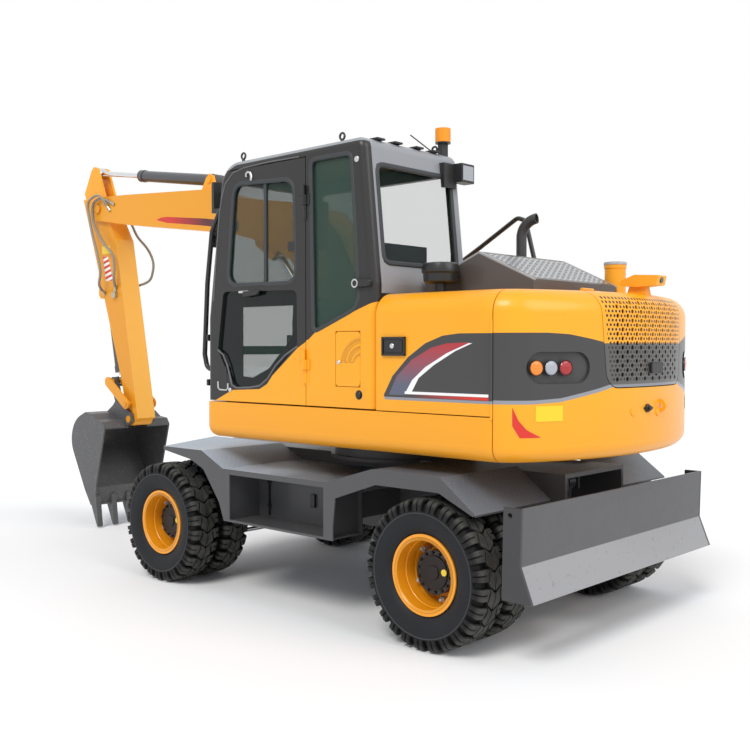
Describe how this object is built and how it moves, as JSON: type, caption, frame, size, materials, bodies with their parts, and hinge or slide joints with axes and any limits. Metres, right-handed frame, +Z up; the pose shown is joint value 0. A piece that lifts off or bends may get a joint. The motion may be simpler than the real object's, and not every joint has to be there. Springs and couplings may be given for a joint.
{
  "type": "wheeled excavator",
  "caption": "Compact wheeled excavator with a slewing upper body, glazed cab, jointed boom, arm and bucket, and a rear dozer blade.",
  "frame": {"origin": "centre of the bounding box at the ground, parked on its four wheels as pictured", "axes": "+X from the blade to the boom's tip, the way the cab faces; +Y to the cab's side; +Z up"},
  "size_m": [6.106, 2.21, 3.432],
  "materials": {
    "yellow": "gloss",
    "grey_paint": "satin",
    "dark_paint": "satin",
    "tyre": "matt",
    "cast": "rough",
    "chrome": "polished",
    "glass": "clear",
    "plastic": "matt",
    "fabric": "woven",
    "hose": "matt"
  },
  "bodies": {
    "chassis": {"chassis_frame": "grey_paint", "slewing_ring": "cast", "fender_left": "grey_paint", "fender_right": "grey_paint", "front_axle": "cast", "rear_axle": "cast"},
    "blade": {"blade": "grey_paint"},
    "blade_barrel": {"blade_cylinder": "grey_paint"},
    "blade_piston": {"blade_rod": "chrome"},
    "knuckle_l": {"knuckle_left": "cast"},
    "knuckle_r": {"knuckle_right": "cast"},
    "steering_rod": {"track_rod": "chrome"},
    "wheel_front_left": {"tyre_front_left": "tyre", "rim_front_left": "yellow"},
    "wheel_front_right": {"tyre_front_right": "tyre", "rim_front_right": "yellow"},
    "wheel_rear_left": {"tyre_rear_left": "tyre", "rim_rear_left": "yellow"},
    "wheel_rear_right": {"tyre_rear_right": "tyre", "rim_rear_right": "yellow"},
    "upper": {"deck": "yellow", "tail": "yellow", "top_cover": "yellow", "hood": "dark_paint", "tanks": "yellow", "engine": "cast", "exhaust": "dark_paint", "cab_floor": "dark_paint", "cab_front": "dark_paint", "cab_back": "dark_paint", "cab_left": "dark_paint", "cab_roof": "dark_paint", "side_panel": "yellow", "cab_glass": "glass", "seat": "fabric", "controls": "plastic", "handrails": "dark_paint", "mirrors": "plastic", "cab_lamps": "plastic"},
    "cab_door_body": {"cab_door": "dark_paint", "door_glass": "glass"},
    "rear_door_body": {"rear_door": "yellow"},
    "side_door_l": {"side_door_left": "yellow"},
    "side_door_r": {"side_door_right": "yellow"},
    "flap": {"fuel_flap": "yellow"},
    "boom_body": {"boom": "yellow"},
    "boom_barrel": {"boom_cylinder": "grey_paint"},
    "boom_piston": {"boom_rod": "chrome"},
    "arm_body": {"arm": "yellow", "hose_left_front": "hose", "hose_left_rear": "hose", "hose_right": "hose"},
    "arm_barrel": {"arm_cylinder": "grey_paint"},
    "arm_piston": {"arm_rod": "chrome"},
    "bucket_body": {"bucket": "grey_paint"},
    "bucket_barrel": {"bucket_cylinder": "grey_paint"},
    "bucket_piston": {"bucket_rod": "chrome"},
    "guide": {"guide_links": "yellow"},
    "link": {"bucket_link": "grey_paint"}
  },
  "joints": [
    {"name": "slew", "type": "hinge", "parent": "chassis", "child": "upper", "pos_m": [-1.165, 0, 1.05], "axis": [0, 0, 1], "continuous": true},
    {"name": "steer_left", "type": "hinge", "parent": "chassis", "child": "knuckle_l", "pos_m": [0.234, 0.515, 0.425], "axis": [0, 0, 1], "range_deg": [-28, 28]},
    {"name": "steer_right", "type": "hinge", "parent": "chassis", "child": "knuckle_r", "pos_m": [0.234, -0.515, 0.425], "axis": [0, 0, 1], "range_deg": [-29, 29]},
    {"name": "track_rod_slide", "type": "slide", "parent": "chassis", "child": "steering_rod", "axis": [0, 1, 0], "range_m": [-0.08, 0.08]},
    {"name": "spin_front_left", "type": "hinge", "parent": "knuckle_l", "child": "wheel_front_left", "pos_m": [0.234, 0.85, 0.425], "axis": [0, 1, 0], "continuous": true},
    {"name": "spin_front_right", "type": "hinge", "parent": "knuckle_r", "child": "wheel_front_right", "pos_m": [0.234, -0.85, 0.425], "axis": [0, 1, 0], "continuous": true},
    {"name": "spin_rear_left", "type": "hinge", "parent": "chassis", "child": "wheel_rear_left", "pos_m": [-2.215, 0.85, 0.425], "axis": [0, 1, 0], "continuous": true},
    {"name": "spin_rear_right", "type": "hinge", "parent": "chassis", "child": "wheel_rear_right", "pos_m": [-2.215, -0.85, 0.425], "axis": [0, 1, 0], "continuous": true},
    {"name": "blade_lift", "type": "hinge", "parent": "chassis", "child": "blade", "pos_m": [-1.8, 0, 0.385], "axis": [0, 1, 0], "range_deg": [-24, 0]},
    {"name": "blade_barrel_turn", "type": "hinge", "parent": "chassis", "child": "blade_barrel", "pos_m": [-2.46, 0, 0.86], "axis": [0, 1, 0], "range_deg": [-2, 1]},
    {"name": "blade_rod_slide", "type": "slide", "parent": "blade_barrel", "child": "blade_piston", "axis": [0.128, 0, -0.9918], "range_m": [-0.01, 0.26]},
    {"name": "cab_door_open", "type": "hinge", "parent": "upper", "child": "cab_door_body", "pos_m": [-1.222, 1.045, 2], "axis": [0, 0, 1], "range_deg": [0, 165]},
    {"name": "side_door_left_open", "type": "hinge", "parent": "upper", "child": "side_door_l", "pos_m": [-2.629, 1.022, 1.64], "axis": [0, 0, 1], "range_deg": [0, 80]},
    {"name": "side_door_right_open", "type": "hinge", "parent": "upper", "child": "side_door_r", "pos_m": [-2.629, -1.022, 1.64], "axis": [0, 0, 1], "range_deg": [-80, 0]},
    {"name": "rear_door_open", "type": "hinge", "parent": "upper", "child": "rear_door_body", "pos_m": [-2.778, 0, 2.007], "axis": [0, 1, 0], "range_deg": [0, 60]},
    {"name": "fuel_flap_open", "type": "hinge", "parent": "upper", "child": "flap", "pos_m": [-1.685, 1.027, 1.612], "axis": [0, 0, -1], "range_deg": [-95, 0]},
    {"name": "boom_lift", "type": "hinge", "parent": "upper", "child": "boom_body", "pos_m": [-0.765, -0.1, 1.55], "axis": [0, -1, 0], "range_deg": [-56, 34]},
    {"name": "boom_barrel_turn", "type": "hinge", "parent": "upper", "child": "boom_barrel", "pos_m": [-0.635, -0.1, 1.36], "axis": [0, -1, 0], "range_deg": [-56, 35]},
    {"name": "boom_rod_slide", "type": "slide", "parent": "boom_barrel", "child": "boom_piston", "axis": [0.6475, 0, 0.762], "range_m": [-0.21, 0.13]},
    {"name": "arm_swing", "type": "hinge", "parent": "boom_body", "child": "arm_body", "pos_m": [2.702, -0.1, 3], "axis": [0, -1, 0], "range_deg": [-12, 95], "deforming": ["hose_left_front", "hose_left_rear", "hose_right"]},
    {"name": "arm_barrel_turn", "type": "hinge", "parent": "boom_body", "child": "arm_barrel", "pos_m": [1.065, -0.1, 3.105], "axis": [0, -1, 0], "range_deg": [-5, 2]},
    {"name": "arm_rod_slide", "type": "slide", "parent": "arm_barrel", "child": "arm_piston", "axis": [0.9889, 0, 0.1486], "range_m": [-0.6, 0.09]},
    {"name": "bucket_curl", "type": "hinge", "parent": "arm_body", "child": "bucket_body", "pos_m": [2.228, -0.1, 1.01], "axis": [0, 1, 0], "range_deg": [-8, 140]},
    {"name": "guide_turn", "type": "hinge", "parent": "arm_body", "child": "guide", "pos_m": [2.236, -0.1, 1.15], "axis": [0, 1, 0], "range_deg": [-7, 101]},
    {"name": "link_turn", "type": "hinge", "parent": "guide", "child": "link", "pos_m": [2.529, -0.1, 1.352], "axis": [0, 1, 0], "range_deg": [-45, 4]},
    {"name": "bucket_barrel_turn", "type": "hinge", "parent": "arm_body", "child": "bucket_barrel", "pos_m": [2.705, -0.1, 2.205], "axis": [0, 1, 0], "range_deg": [-1, 2]},
    {"name": "bucket_rod_slide", "type": "slide", "parent": "bucket_barrel", "child": "bucket_piston", "axis": [-0.2021, 0, -0.9794], "range_m": [-0.04, 0.56]}
  ],
  "couplings": [
    {"joint": "steer_right", "follows": "steer_left", "ratio": 1},
    {"joint": "track_rod_slide", "follows": "steer_left", "m_per_rad": -0.15},
    {"joint": "blade_barrel_turn", "follows": "blade_lift", "ratio": 0.0534},
    {"joint": "blade_rod_slide", "follows": "blade_lift", "m_per_rad": -0.5949},
    {"joint": "boom_barrel_turn", "follows": "boom_lift", "ratio": 0.9881},
    {"joint": "boom_rod_slide", "follows": "boom_lift", "m_per_rad": 0.2087},
    {"joint": "arm_barrel_turn", "follows": "arm_swing", "ratio": -0.0422},
    {"joint": "arm_rod_slide", "follows": "arm_swing", "m_per_rad": -0.3528},
    {"joint": "guide_turn", "follows": "bucket_curl", "ratio": 0.711},
    {"joint": "link_turn", "follows": "bucket_curl", "ratio": -0.311},
    {"joint": "bucket_barrel_turn", "follows": "bucket_curl", "ratio": 0.009},
    {"joint": "bucket_rod_slide", "follows": "bucket_curl", "m_per_rad": 0.2206}
  ]
}
